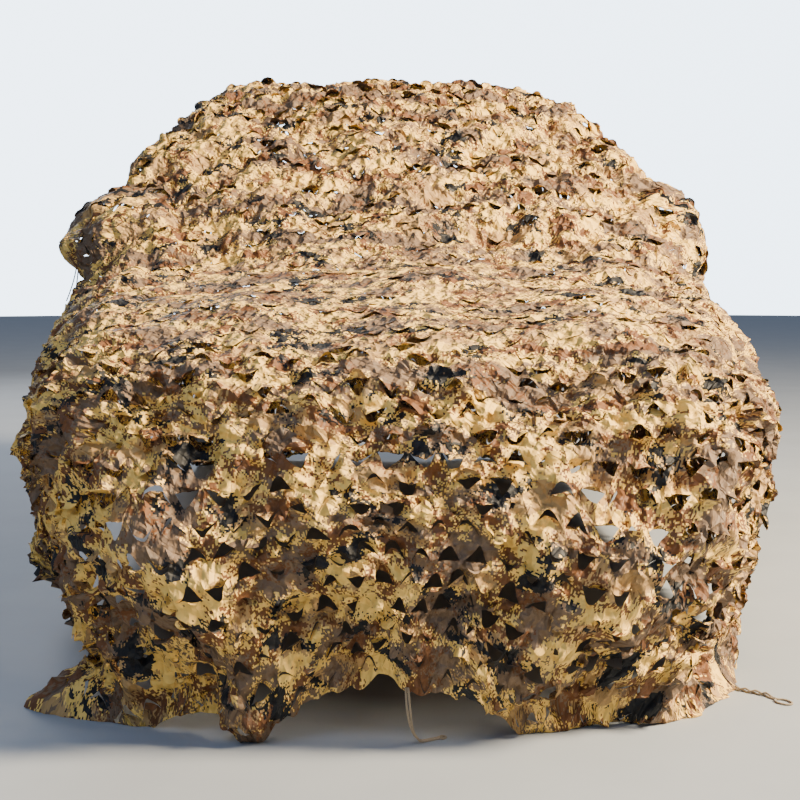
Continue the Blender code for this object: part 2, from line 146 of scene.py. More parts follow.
# The backdrop is a ring of white paper, evenly bright, far outside the lamps. Only the camera
# sees it: it adds no light to the net and casts no shadow.
BACKDROP_AWAY = 26.0
BACKDROP_TALL = 16.0
BACKDROP_SIDES = 96
turn = np.linspace(0, 2 * np.pi, BACKDROP_SIDES, endpoint=False)
rim = np.column_stack([np.cos(turn), np.sin(turn), 0 * turn]) * BACKDROP_AWAY
backdrop_mesh = bpy.data.meshes.new("studio_backdrop")
low = np.arange(len(turn))
ahead = np.roll(low, -1)
backdrop_mesh.from_pydata(
    np.vstack([rim, rim + (0, 0, BACKDROP_TALL)]).tolist(),
    [],
    np.column_stack([ahead, low, low + len(turn), ahead + len(turn)]).tolist(),
)
backdrop = bpy.data.objects.new("studio_backdrop", backdrop_mesh)
bpy.context.scene.collection.objects.link(backdrop)
paper, _, paper_shader = new_material("white_backdrop_paper", Roughness=1.0)
paper_shader.inputs["Base Color"].default_value = linear("#E4E8EC")
paper_shader.inputs["Emission Color"].default_value = linear("#CFE0F2")
paper_shader.inputs["Emission Strength"].default_value = 6.0
backdrop_mesh.materials.append(paper)
backdrop.visible_diffuse = False
backdrop.visible_glossy = False
backdrop.visible_shadow = False

world = bpy.data.worlds.new("pale_sky")
world.use_nodes = True
sky = world.node_tree.nodes["Background"]
sky.inputs["Color"].default_value = linear("#C6D8F6")
sky.inputs["Strength"].default_value = 0.44
bpy.context.scene.world = world

Lamp = namedtuple("Lamp", "name place size watts tint")
LAMPS = [
    Lamp("overhead_softbox", (6.3, -3.1, 5.4), 2.0, 3700.0, "#FFE8C4"),
    Lamp("front_softbox", (-1.5, -6.5, 6.0), 3.0, 170.0, "#BFD5FB"),
    Lamp("back_softbox", (-3.0, 6.5, 4.5), 3.0, 260.0, "#FFFFFF"),
]
LAMPS_AIM = Vector((0, -0.9, 0.6))
for lamp in LAMPS:
    light_data = bpy.data.lights.new(lamp.name, "AREA")
    light_data.size = lamp.size
    light_data.energy = lamp.watts
    light_data.color = linear(lamp.tint)[:3]
    light = bpy.data.objects.new(lamp.name, light_data)
    light.location = lamp.place
    facing = (LAMPS_AIM - light.location).to_track_quat("-Z", "Y")
    light.rotation_euler = facing.to_euler()
    bpy.context.scene.collection.objects.link(light)


# -------------------- tie cords
# Each tie is a three-strand twisted cord of polypropylene yarn. Two are doubled and come out
# at the middle of the front hem and at the right ear. The thin dark two are the loose ends of
# one cord under the left mirror. How they are fixed is out of sight.
TIE = 0.0046
THIN_TIE = 0.0036
TIE_APART = 0.0062
# The height of a doubled tie's middle where it lies on the floor.
lying = TIE / 2 + TIE_APART / 2
HEM_END = np.array((-0.00007, -2.19729, 0.12732))
EAR_END = np.array((0.75791, -1.80915, 0.0))
# Seven places from -1 to 1, with weights that fall evenly to both sides, for averaging.
WINDOW = [(offset / 3, 1 - abs(offset) / 4) for offset in range(-3, 4)]
WINDOW_SUM = sum(weight for _, weight in WINDOW)


def along(points, shares, at):
    """The place at `at` on a polyline through points, carried straight on past both ends."""
    place = points[0]
    last = len(points) - 2
    for k in range(last + 1):
        low = -np.inf if k == 0 else 0.0
        high = np.inf if k == last else 1.0
        part = np.clip((at - shares[k]) / (shares[k + 1] - shares[k]), low, high)
        place = place + part[..., None] * (points[k + 1] - points[k])
    return place


def rounded(points, shares, at, reach):
    """The same polyline with its corners rounded by averaging over `reach` to each side."""
    total = sum(weight * along(points, shares, at + reach * offset) for offset, weight in WINDOW)
    return total / WINDOW_SUM


def shares_of(points):
    """How far along a polyline each of its points lies, from 0 to 1."""
    steps = np.linalg.norm(np.diff(points, axis=0), axis=-1)
    reached = np.concatenate([np.zeros_like(steps[:1]), np.cumsum(steps, axis=0)])
    return reached / reached[-1]


# Shares of its route after which the pair lies level and is fully twisted.
LEVEL_BY = 0.7
TWISTED_BY = 0.8
NEAR_FLOOR = 0.014


def doubled(route, steps, bend, turns, loop):
    """Out along a route, round a loop (its length, width and steps) and back, the strands at
    an angle round the route that grows evenly to the turns. Below NEAR_FLOOR the pair is
    lowered by the gap under its lower strand."""
    loop_long, loop_wide, loop_steps = loop
    route = np.array(route)
    share = np.linspace(0, 1, steps)
    middle = rounded(route[:, None], shares_of(route[:, None]), share, bend)
    ahead = np.gradient(middle, axis=0)
    ahead /= np.linalg.norm(ahead, axis=1, keepdims=True)
    level = np.clip(share / LEVEL_BY, 0, 1)[:, None]
    sideways = np.cross(ahead, (1 - level) * [1.0, 1.0, 0.0] + level * [0.0, 0.0, 1.0])
    sideways /= np.linalg.norm(sideways, axis=1, keepdims=True)
    upwards = np.cross(sideways, ahead)
    angle = (2 * np.pi * turns * np.clip(share / TWISTED_BY, 0, 1))[:, None]
    strand = TIE_APART / 2 * (np.cos(angle) * sideways + np.sin(angle) * upwards)
    left_under = middle[:, 2] - np.abs(strand[:, 2]) - TIE / 2
    low_down = np.clip((NEAR_FLOOR - middle[:, 2]) / (NEAR_FLOOR - lying), 0, 1)
    middle[:, 2] -= left_under * low_down
    opening = np.arcsin(TIE_APART / loop_wide)
    round_loop = np.linspace(np.pi - opening, opening - np.pi, loop_steps)[1:-1, None]
    centre = middle[-1] + ahead[-1] * loop_long / 2 * np.cos(opening)
    end = centre + loop_long / 2 * np.cos(round_loop) * ahead[-1]
    end = end + loop_wide / 2 * np.sin(round_loop) * strand[-1] / (TIE_APART / 2)
    end[:, 2] = np.maximum(end[:, 2], TIE / 2)
    return np.concatenate([middle + strand, end, (middle - strand)[::-1]])


def smooth_path(points, spacing):
    """A Catmull-Rom curve through the points: each span is the cubic that leaves and reaches
    its ends in the direction from the point before to the point after."""
    ends = np.vstack([2 * points[0] - points[1], points, 2 * points[-1] - points[-2]])
    length = np.linalg.norm(np.diff(points, axis=0), axis=1)
    steps = max(2, int(np.ceil(length.max() / spacing)))
    t = (np.arange(steps) / steps)[None, :, None]
    a, b, c, d = (ends[k : len(points) - 1 + k, None] for k in range(4))
    spans = 0.5 * (2 * b + (c - a) * t + (2 * a - 5 * b + 4 * c - d) * t**2)
    spans = spans + 0.5 * (3 * b - a - 3 * c + d) * t**3
    return np.vstack([spans.reshape(-1, 3), points[-1:]])


def object_from(name, points, quads, material, uv):
    """A smooth mesh object at the origin; uv holds one pair of metres for each point."""
    mesh = bpy.data.meshes.new(name)
    mesh.vertices.add(len(points))
    mesh.vertices.foreach_set("co", np.asarray(points, np.float32).ravel())
    mesh.loops.add(quads.size)
    mesh.loops.foreach_set("vertex_index", np.asarray(quads, np.int32).ravel())
    mesh.polygons.add(len(quads))
    mesh.polygons.foreach_set("loop_start", np.arange(0, quads.size, 4, dtype=np.int32))
    mesh.polygons.foreach_set("use_smooth", np.ones(len(quads), bool))
    mesh.update(calc_edges=True)
    layer = mesh.uv_layers.new(name="laid_flat")
    layer.data.foreach_set("uv", np.asarray(uv[quads.ravel()], np.float32).ravel())
    mesh.materials.append(material)
    made = bpy.data.objects.new(name, mesh)
    bpy.context.scene.collection.objects.link(made)
    return made


CORD_SIDES = 18
CORD_STEP = 0.0012
LAY_DIAMETERS = 6
LOBE_TOP = 1.06
LOBE_DEEP = 0.22
# A direction that no tie runs in, to measure the angle round a cord from.
ASKEW = (0.31, 0.27, 0.91)


def twisted_cord(name, path, thick, material):
    """A tube along a path, with three lobes that wind round it once in a lay of LAY_DIAMETERS
    diameters. At angle w and distance s, lobe = |sin(1.5 (w - 2 pi s / lay))|, and the radius
    is r (LOBE_TOP - LOBE_DEEP (1 - lobe)^2). Quads close both ends."""
    centre = smooth_path(path, CORD_STEP)
    reached = np.concatenate([[0], np.cumsum(np.linalg.norm(np.diff(centre, axis=0), axis=1))])
    ahead = np.gradient(centre, axis=0)
    ahead /= np.linalg.norm(ahead, axis=1, keepdims=True)
    across = np.cross(ahead, ASKEW)
    across /= np.linalg.norm(across, axis=1, keepdims=True)
    over = np.cross(ahead, across)
    turn = np.linspace(0, 2 * np.pi, CORD_SIDES, endpoint=False)
    wound = 2 * np.pi * reached[:, None] / (LAY_DIAMETERS * thick)
    lobe = np.abs(np.sin(1.5 * (turn[None] - wound)))
    radius = thick / 2 * (LOBE_TOP - LOBE_DEEP * (1 - lobe) ** 2)[..., None]
    cosine, sine = np.cos(turn)[None, :, None], np.sin(turn)[None, :, None]
    rings = centre[:, None] + radius * (cosine * across[:, None] + sine * over[:, None])
    points = np.vstack([rings.reshape(-1, 3), centre[:1], centre[-1:]])
    points[:, 2] = np.maximum(points[:, 2], 0)

    index = np.arange(len(centre) * CORD_SIDES).reshape(len(centre), CORD_SIDES)
    following = np.roll(index, -1, axis=1)
    walls = np.stack([index[:-1], following[:-1], following[1:], index[1:]], axis=-1)
    even = np.arange(0, CORD_SIDES, 2)
    next_even = (even + 2) % CORD_SIDES
    near = np.full_like(even, len(points) - 2)
    far = np.full_like(even, len(points) - 1)
    start_cap = [following[0, even], index[0, even], near, index[0, next_even]]
    end_cap = [index[-1, even], following[-1, even], index[-1, next_even], far]
    quads = np.vstack([walls.reshape(-1, 4), np.column_stack(start_cap), np.column_stack(end_cap)])
    round_and_along = np.broadcast_arrays(turn[None] * thick / 2, reached[:, None])
    uv = np.stack(round_and_along, axis=-1).reshape(-1, 2)
    uv = np.vstack([uv, [[0, reached[0]], [0, reached[-1]]]])
    return object_from(name, points, quads, material, uv)


# Real fibres are far too fine to show, so they are drawn about 1.1 mm wide.
FIBRES_PER_METRE = 900.0


def cord_yarn(name, light_hex, dark_hex):
    """Twisted filament yarn: dull, mottled between two tones, with a slight relief."""
    material, tree, shader = new_material(name, Roughness=0.82, Sheen_Weight=0.25)
    place = add_node(tree, "TexCoord")
    fibres = add_node(
        tree,
        "TexNoise",
        {"Vector": place.outputs["Object"], "Scale": FIBRES_PER_METRE, "Detail": 2.0},
    )
    tone = mixed(tree, fibres.outputs["Fac"], linear(dark_hex), linear(light_hex))
    relief = add_node(
        tree, "Bump", {"Height": fibres.outputs["Fac"], "Strength": 0.4, "Distance": 0.0004}
    )
    tree.links.new(tone, shader.inputs["Base Color"])
    tree.links.new(relief.outputs["Normal"], shader.inputs["Normal"])
    return material


beige_yarn = cord_yarn("beige_twisted_yarn", "#A19074", "#685A48")
dark_yarn = cord_yarn("dark_twisted_yarn", "#211D19", "#0E0C0A")

# From the middle of the front hem straight down, then a hand's breadth along the floor.
hem_route = [
    HEM_END + (0.000, 0.000, -0.0013),
    HEM_END + (0.004, 0.004, -0.060),
    (HEM_END[0] + 0.010, HEM_END[1] + 0.014, lying + 0.030),
    (HEM_END[0] + 0.022, HEM_END[1] + 0.032, lying),
    (HEM_END[0] + 0.048, HEM_END[1] + 0.052, lying),
    (HEM_END[0] + 0.066, HEM_END[1] + 0.060, lying),
]

# From the tip of the right ear out along the floor, ending in an open loop.
ear_route = [
    (EAR_END[0] + 0.0025, EAR_END[1] - 0.004, lying),
    (EAR_END[0] + 0.030, EAR_END[1] - 0.030, lying),
    (EAR_END[0] + 0.056, EAR_END[1] - 0.052, lying),
    (EAR_END[0] + 0.074, EAR_END[1] - 0.086, lying),
]

# Two loose ends hang under the left mirror bulge, a little apart.
fallen = np.linspace(0, 1, 12)[:, None]


def loose_end(leaving, aside, swing, drop):
    """Straight down by drop, drifting in x by swing times the share fallen to the power 1.5
    and in y by half of aside."""
    fall = np.hstack([swing * fallen**1.5, aside * 0.5 * fallen, -drop * fallen])
    return np.array(leaving) + fall


hem_path = doubled(hem_route, steps=22, bend=0.17, turns=0.5, loop=(0.018, 0.014, 7))
ear_path = doubled(ear_route, steps=14, bend=0.06, turns=2.0, loop=(0.044, 0.030, 12))
front_path = loose_end((-0.92933, -0.69100, 0.97418), -0.006, -0.032, 0.112)
back_path = loose_end((-0.92669, -0.67845, 0.97435), 0.006, -0.015, 0.104)

Tie = namedtuple("Tie", "node path thick material lay far_end")
TIES = [
    Tie("tie_hem", hem_path, TIE, beige_yarn, "hanging", "object"),
    Tie("tie_corner", ear_path, TIE, beige_yarn, "loose", "object"),
    Tie("tie_mirror_front", front_path, THIN_TIE, dark_yarn, "hanging", "bare"),
    Tie("tie_mirror_back", back_path, THIN_TIE, dark_yarn, "hanging", "bare"),
]
for tie in TIES:
    cord = twisted_cord(tie.node + "_cord", tie.path, tie.thick, tie.material)
    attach(cord, "root")
    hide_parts(tie.node)


# -------------------- the net's drape
# The net is one sheet of thin polyester cloth. It hangs over bonnet, windscreen, mirrors, roof
# and tail, down to a hem that lies partly on the floor. This part gives that draped surface.
FRONT_TO_MIDDLE = 2.21
LAID_FLAT_UNDER = 0.004
# How far rounding reaches: in half widths, metres, a share of the skirt and turns of the hem.
ROUND_ACROSS = 0.11
ROUND_ALONG = 0.17
ROUND_DOWN = 0.12
ROUND_HEM = 0.014
UNEVEN = 0.011

Section = namedtuple(
    "Section", "name back top edge_x edge_z shoulder_x shoulder_z side_x side_z wrap"
)
SECTIONS = [
    Section("lip", 0.01, 0.62, 0.58, 0.61, 0.78, 0.56, 0.855, 0.38, 0.56),
    Section("grille top", 0.05, 0.73, 0.60, 0.72, 0.81, 0.64, 0.875, 0.41, 0.52),
    Section("bonnet edge", 0.16, 0.80, 0.64, 0.79, 0.84, 0.70, 0.89, 0.42, 0.45),
    Section("bonnet", 0.60, 0.92, 0.72, 0.89, 0.885, 0.76, 0.90, 0.42, 0.28),
    Section("cowl", 1.13, 1.01, 0.78, 0.97, 0.90, 0.87, 0.90, 0.55, 0.12),
    Section("windscreen", 1.55, 1.28, 0.76, 1.25, 0.885, 1.07, 0.90, 0.68, 0.06),
    Section("roof front", 2.02, 1.57, 0.67, 1.53, 0.83, 1.28, 0.91, 0.84, 0.02),
    Section("crown", 2.50, 1.66, 0.68, 1.61, 0.83, 1.31, 0.91, 0.88, 0.00),
    Section("roof rear", 3.45, 1.61, 0.65, 1.56, 0.81, 1.28, 0.91, 0.88, -0.04),
    Section("rear glass", 4.02, 1.20, 0.68, 1.16, 0.86, 0.99, 0.91, 0.62, -0.20),
    Section("tail", 4.32, 0.94, 0.64, 0.92, 0.84, 0.83, 0.90, 0.52, -0.46),
    Section("tail lip", 4.40, 0.70, 0.62, 0.69, 0.82, 0.62, 0.89, 0.44, -0.50),
]
WRAP_SHARES = (0.0, 0.06, 0.36, 1.0)

# Round the hem, turn goes 0 to 4: front, right side, tail, left side, from the front left corner.
Hem = namedtuple("Hem", "name turn foot_x foot_back foot_z tip_x tip_back tip_z puff")
HEMS = [
    Hem("left ear", 0.0, -0.65, 0.37, 0.04, -0.835, 0.335, 0.0, 0.035),
    Hem("left ear front", 0.05, -0.63, 0.3, 0.02, -0.72, 0.235, 0.0, 0.05),
    Hem("left ear root", 0.1, -0.585, 0.24, 0.01, -0.6, 0.185, 0.0, 0.04),
    Hem("left foot", 0.14, -0.535, 0.17, 0.02, -0.54, 0.17, 0.0, 0.02),
    Hem("left arch", 0.205, -0.455, 0.09, 0.12, -0.455, 0.11, 0.05, 0.0),
    Hem("left arch end", 0.26, -0.38, 0.05, 0.1, -0.38, 0.08, 0.043, 0.0),
    Hem("left dip", 0.3, -0.325, 0.03, 0.06, -0.325, 0.05, 0.0, 0.0),
    Hem("left dip end", 0.33, -0.285, 0.02, 0.08, -0.285, 0.055, 0.0, 0.0),
    Hem("left rise", 0.365, -0.235, 0.0, 0.16, -0.235, 0.04, 0.08, 0.0),
    Hem("middle left", 0.42, -0.13, -0.015, 0.24, -0.13, 0.025, 0.112, 0.0),
    Hem("notch", 0.465, -0.05, -0.02, 0.28, -0.05, 0.02, 0.158, 0.0),
    Hem("middle", 0.51, 0.015, -0.02, 0.28, 0.015, 0.02, 0.126, 0.0),
    Hem("middle right", 0.56, 0.1, -0.02, 0.26, 0.1, 0.02, 0.136, 0.0),
    Hem("right fall", 0.605, 0.165, -0.01, 0.18, 0.165, 0.04, 0.072, 0.0),
    Hem("right dip", 0.65, 0.225, 0.02, 0.08, 0.225, 0.075, 0.008, 0.0),
    Hem("right run", 0.7, 0.3, 0.06, 0.04, 0.3, 0.105, 0.0, 0.01),
    Hem("right run", 0.78, 0.42, 0.1, 0.03, 0.42, 0.15, 0.0, 0.02),
    Hem("right foot", 0.86, 0.545, 0.13, 0.03, 0.55, 0.15, 0.0, 0.035),
    Hem("right ear root", 0.91, 0.6, 0.2, 0.03, 0.62, 0.205, 0.0, 0.045),
    Hem("right ear front", 0.955, 0.635, 0.29, 0.02, 0.69, 0.29, 0.0, 0.045),
    Hem("right ear", 1.0, 0.69, 0.4, 0.03, 0.76, 0.4, 0.0, 0.03),
    Hem("right wing", 1.04, 0.79, 0.52, 0.1, 0.79, 0.51, 0.02, 0.0),
    Hem("right wheel", 1.11, 0.865, 0.74, 0.22, 0.865, 0.74, 0.08, 0.0),
    Hem("right sill", 1.35, 0.91, 1.6, 0.26, 0.91, 1.6, 0.1, 0.0),
    Hem("right sill", 1.7, 0.92, 3.0, 0.26, 0.92, 3.0, 0.12, 0.0),
    Hem("right tail", 1.93, 0.91, 3.9, 0.22, 0.91, 3.94, 0.06, 0.0),
    Hem("tail right", 2.0, 0.82, 4.16, 0.03, 0.88, 4.24, 0.0, 0.02),
    Hem("tail right run", 2.14, 0.62, 4.35, 0.02, 0.62, 4.4, 0.0, 0.01),
    Hem("tail middle", 2.5, 0.0, 4.43, 0.24, 0.0, 4.41, 0.11, 0.0),
    Hem("tail left run", 2.86, -0.62, 4.35, 0.02, -0.62, 4.4, 0.0, 0.01),
    Hem("tail left", 3.0, -0.82, 4.16, 0.03, -0.88, 4.24, 0.0, 0.02),
    Hem("left tail", 3.07, -0.91, 3.9, 0.22, -0.91, 3.94, 0.07, 0.0),
    Hem("left sill", 3.3, -0.92, 3.0, 0.26, -0.92, 3.0, 0.15, 0.0),
    Hem("left sill", 3.62, -0.91, 1.7, 0.28, -0.91, 1.7, 0.17, 0.0),
    Hem("left wheel", 3.85, -0.87, 0.84, 0.34, -0.87, 0.82, 0.2, 0.0),
    Hem("left wing", 3.91, -0.805, 0.64, 0.26, -0.8, 0.62, 0.16, 0.0),
    Hem("left wing front", 3.945, -0.735, 0.52, 0.2, -0.725, 0.49, 0.13, 0.0),
    Hem("neck", 3.975, -0.655, 0.42, 0.12, -0.645, 0.385, 0.06, 0.0),
]

# Bulges over what lies under the net, pushed out by out_x, out_y and out_z at their middle.
Bulge = namedtuple("Bulge", "name x back z wide tall out_x out_y out_z")
BULGES = [
    Bulge("left mirror", -0.90, 1.52, 1.08, 0.22, 0.13, -0.11, -0.03, 0.01),
    Bulge("right mirror", 0.90, 1.52, 1.06, 0.23, 0.16, 0.09, -0.03, 0.01),
    Bulge("windscreen sag", 0.00, 1.30, 1.12, 0.45, 0.16, 0.00, -0.03, 0.01),
]

# The finer drape: the cut cloth draws in a little more over the roof and its shoulders.
BULGES += [
    Bulge("roof", 0.00, 2.60, 1.70, 0.95, 0.35, 0.00, 0.00, -0.014),
    Bulge("left roof shoulder", -0.88, 2.40, 1.47, 0.60, 0.24, 0.035, 0.00, -0.010),
    Bulge("right roof shoulder", 0.88, 2.40, 1.47, 0.60, 0.24, -0.045, 0.00, -0.015),
    Bulge("under right mirror", 1.00, 1.50, 1.02, 0.16, 0.10, -0.045, 0.00, 0.00),
]

# Folds that run down the skirt, deepest at the hem; `turn` and `wide` are in turns of the hem.
Fold = namedtuple("Fold", "name turn wide out from_top")
FOLDS = [
    Fold("ear crease", 0.1, 0.03, 0.035, 0.35),
    Fold("dip left", 0.24, 0.022, -0.03, 0.45),
    Fold("dip right", 0.31, 0.022, 0.034, 0.45),
    Fold("middle left", 0.4, 0.025, -0.022, 0.55),
    Fold("middle right", 0.57, 0.025, 0.026, 0.55),
    Fold("right hollow", 0.72, 0.028, -0.024, 0.4),
    Fold("right ridge", 0.84, 0.018, 0.036, 0.3),
    Fold("right ear crease", 0.9, 0.02, -0.026, 0.35),
    Fold("side", 1.22, 0.035, 0.03, 0.3),
    Fold("side", 1.5, 0.04, -0.024, 0.3),
    Fold("side", 1.78, 0.035, 0.03, 0.3),
    Fold("tail", 2.25, 0.045, 0.03, 0.3),
    Fold("tail", 2.68, 0.045, 0.028, 0.3),
    Fold("side", 3.2, 0.035, 0.028, 0.3),
    Fold("side", 3.48, 0.04, -0.024, 0.3),
    Fold("side", 3.74, 0.03, 0.03, 0.3),
]

# Shallow waves of the whole cloth: a wave's length and its direction in space.
Wave = namedtuple("Wave", "length x y z start")
WAVES = [
    Wave(0.62, 0.80, 0.60, 0.20, 0.3),
    Wave(0.47, -0.55, 0.80, 0.40, 1.9),
    Wave(0.36, 0.90, -0.20, 0.70, 4.1),
    Wave(0.29, 0.25, 0.95, -0.50, 2.6),
]

CONTROLS = np.array(
    [
        [
            (0.0, s.back, s.top),
            (s.edge_x, s.back + WRAP_SHARES[1] * s.wrap, s.edge_z),
            (s.shoulder_x, s.back + WRAP_SHARES[2] * s.wrap, s.shoulder_z),
            (s.side_x, s.back + WRAP_SHARES[3] * s.wrap, s.side_z),
        ]
        for s in SECTIONS
    ]
).transpose(1, 0, 2)
CONTROL_SHARES = shares_of(CONTROLS)
CENTRE_STEPS = np.linalg.norm(np.diff(CONTROLS[0], axis=0), axis=-1)
STATIONS = np.concatenate([[0.0], np.cumsum(CENTRE_STEPS)])
LENGTH = STATIONS[-1]
COWL_AT = STATIONS[[s.name for s in SECTIONS].index("cowl")]


def sections_at(across):
    """Every section's rounded polyline at each across, from -1 on the left to 1."""
    rows = 0.0
    for offset, weight in WINDOW:
        reach = across + ROUND_ACROSS * offset
        side = along(CONTROLS[:, :, None], CONTROL_SHARES[:, :, None], np.abs(reach))
        side[..., 0] *= np.sign(reach)
        rows = rows + weight / WINDOW_SUM * side
    return rows


def top_at(across, down):
    """The drape's upper part at pairs of across, -1 to 1, and down, 0 to LENGTH: a rounded
    polyline that joins the sections along the car."""
    return rounded(sections_at(across), STATIONS[:, None], down, ROUND_ALONG)


def border_at(turn):
    """Across and down of the upper part's border at each turn."""
    turn = turn % 4.0
    leg = np.floor(turn).astype(int)
    share = turn - leg
    across = np.choose(leg, [2 * share - 1, 1.0 + 0 * share, 1 - 2 * share, -1.0 + 0 * share])
    down = LENGTH * np.choose(leg, [0 * share, share, 1.0 + 0 * share, 1 - share])
    return across, down


LEAVING_STEP = 0.04


def leaving_at(turn):
    """The way in which the cloth leaves the border, outwards."""
    across, down = border_at(turn)
    leg = np.floor(turn % 4.0).astype(int)
    in_across = np.choose(leg, [0.0, -LEAVING_STEP, 0.0, LEAVING_STEP])
    in_down = np.choose(leg, [LEAVING_STEP, 0.0, -LEAVING_STEP, 0.0])
    way = top_at(across, down) - top_at(across + in_across, down + in_down)
    return way / np.linalg.norm(way, axis=-1, keepdims=True)


def all_round(rows, turn=0):
    """Values of the hem's rows, with the last row again before them and two after them."""
    rows = np.array(rows)
    return np.concatenate([rows[-1:] - turn, rows, rows[:2] + turn])


HEM_TURNS = all_round([h.turn for h in HEMS], turn=4)
FEET = all_round([(h.foot_x, h.foot_back, h.foot_z) for h in HEMS])
TIPS = all_round([(h.tip_x, h.tip_back, h.tip_z) for h in HEMS])
PUFFS = all_round([(h.puff,) for h in HEMS])
HEM_STEP = 0.02
HEM_WAY_ROUND = 0.06


def hem_way(turn):
    """The level direction in which the hem runs."""
    step = rounded(FEET, HEM_TURNS, turn % 4.0 + HEM_STEP, HEM_WAY_ROUND)
    step = step - rounded(FEET, HEM_TURNS, turn % 4.0 - HEM_STEP, HEM_WAY_ROUND)
    step[..., 2] = 0
    return step / np.linalg.norm(step, axis=-1, keepdims=True)


WAY_ROUND = 0.05
CARRIED_ON = 0.42
PUFF_FROM = 0.6
FOLDS_FULL_AT = 0.05


def skirt_at(turn, down):
    """The drape's skirt on every pair of turn round the border and down, 0 to 1: a rounded
    polyline from the border, on in the cloth's own direction, to the foot and the hem. A
    fold is a bell curve round the hem that grows evenly down to it."""
    start = top_at(*border_at(turn))
    way = sum(weight * leaving_at(turn + WAY_ROUND * offset) for offset, weight in WINDOW)
    way /= np.linalg.norm(way, axis=-1, keepdims=True)
    foot = rounded(FEET, HEM_TURNS, turn % 4.0, ROUND_HEM)
    tip = rounded(TIPS, HEM_TURNS, turn % 4.0, ROUND_HEM)
    carried = CARRIED_ON * np.linalg.norm(foot - start, axis=-1, keepdims=True)
    controls = np.stack([start, start + way * carried, foot, tip])
    shares = shares_of(controls)
    place = rounded(controls[:, :, None], shares[:, :, None], down[None], ROUND_DOWN)
    puffed = rounded(PUFFS, HEM_TURNS, turn % 4.0, ROUND_HEM)
    place[..., 2] += puffed * np.sin(np.pi * np.clip((down - PUFF_FROM) / (1 - PUFF_FROM), 0, 1))
    facing = np.cross([0.0, 0.0, -1.0], hem_way(turn))[:, None]
    out = 0.0
    for fold in FOLDS:
        apart = (turn - fold.turn + 2) % 4 - 2
        grown = np.clip((down - fold.from_top) / (1 - fold.from_top), 0, 1)
        out = out + fold.out * np.exp(-((apart / fold.wide) ** 2))[:, None] * grown
    free = np.clip(place[..., 2:] / FOLDS_FULL_AT, 0, 1)
    return place + out[..., None] * facing * free


WAVES_FULL_AT = 0.10


def settled(place, normal):
    """Adds the bulges, each a flat-topped bell exp(-(distance squared)^2), and the shallow
    waves, then lays flat what is at the floor."""
    for b in BULGES:
        apart = (place - (b.x, b.back, b.z)) / (b.wide, b.wide, b.tall)
        near = np.exp(-((apart**2).sum(axis=-1) ** 2))[..., None]
        place = place + near * np.array([b.out_x, b.out_y, b.out_z])
    wave = 0.0
    for w in WAVES:
        wave = wave + np.sin(2 * np.pi * (place @ np.array([w.x, w.y, w.z])) / w.length + w.start)
    free = np.clip(place[..., 2:] / WAVES_FULL_AT, 0, 1)
    place = place + UNEVEN * 0.5 * wave[..., None] * normal * free
    place[..., 2] = np.maximum(place[..., 2] - LAID_FLAT_UNDER, 0)
    place[..., 1] -= FRONT_TO_MIDDLE
    return place


# A fine grid lies over the drape. A leaf cut spans CUT_ACROSS of its steps along the cut and
# CUT_DOWN across it. On the upper part that is 62 to 73 mm by 52 to 54 mm of cloth.
CUTS_ACROSS = 40
CUTS_BONNET = 24
CUTS_BEHIND = 72
CUTS_SKIRT = 10
CUT_ACROSS = 12
CUT_DOWN = 6
SKIRT_STEPS = 8

down_cuts = CUTS_BONNET + CUTS_BEHIND
across = np.linspace(-1, 1, CUTS_ACROSS * CUT_ACROSS + 1)
down = np.concatenate(
    [
        np.linspace(0, COWL_AT, CUTS_BONNET * CUT_DOWN + 1)[:-1],
        np.linspace(COWL_AT, LENGTH, CUTS_BEHIND * CUT_DOWN + 1),
    ]
)
front_turns = np.arange(len(across) - 1) / (len(across) - 1)
side_turns = (1 + down[:-1] / LENGTH, 4 - down[:0:-1] / LENGTH)
turns = np.concatenate([front_turns, side_turns[0], 2 + front_turns, side_turns[1]])
depth = np.linspace(0, 1, CUTS_SKIRT * SKIRT_STEPS + 1)
top = rounded(sections_at(across)[:, :, None], STATIONS[:, None, None], down[None], ROUND_ALONG)
skirt = skirt_at(turns, depth)


def faces_out(grid, closed):
    """Unit normals of a grid of places, from the cross product of its two directions."""
    if closed:
        first = np.gradient(np.concatenate([grid[-1:], grid, grid[:1]]), axis=0)[1:-1]
    else:
        first = np.gradient(grid, axis=0)
    normal = np.cross(first, np.gradient(grid, axis=1))
    return normal / np.linalg.norm(normal, axis=-1, keepdims=True)


def round_border(grid):
    """The upper part's border in the order of the skirt's columns."""
    return np.concatenate([grid[:-1, 0], grid[-1, :-1], grid[:0:-1, -1], grid[0, :0:-1]])


def give_border(grid, border):
    """Writes values back onto the upper part's border, in the order of the skirt's columns."""
    wide, long = grid.shape[0] - 1, grid.shape[1] - 1
    grid[:-1, 0] = border[:wide]
    grid[-1, :-1] = border[wide : wide + long]
    grid[:0:-1, -1] = border[wide + long : 2 * wide + long]
    grid[0, :0:-1] = border[2 * wide + long :]


top_normal = faces_out(top, closed=False)
skirt_normal = -faces_out(skirt, closed=True)
shared_normal = round_border(top_normal) + skirt_normal[:, 0]
shared_normal /= np.linalg.norm(shared_normal, axis=-1, keepdims=True)
give_border(top_normal, shared_normal)
skirt_normal[:, 0] = shared_normal
top = settled(top, top_normal)
skirt = settled(skirt, skirt_normal)

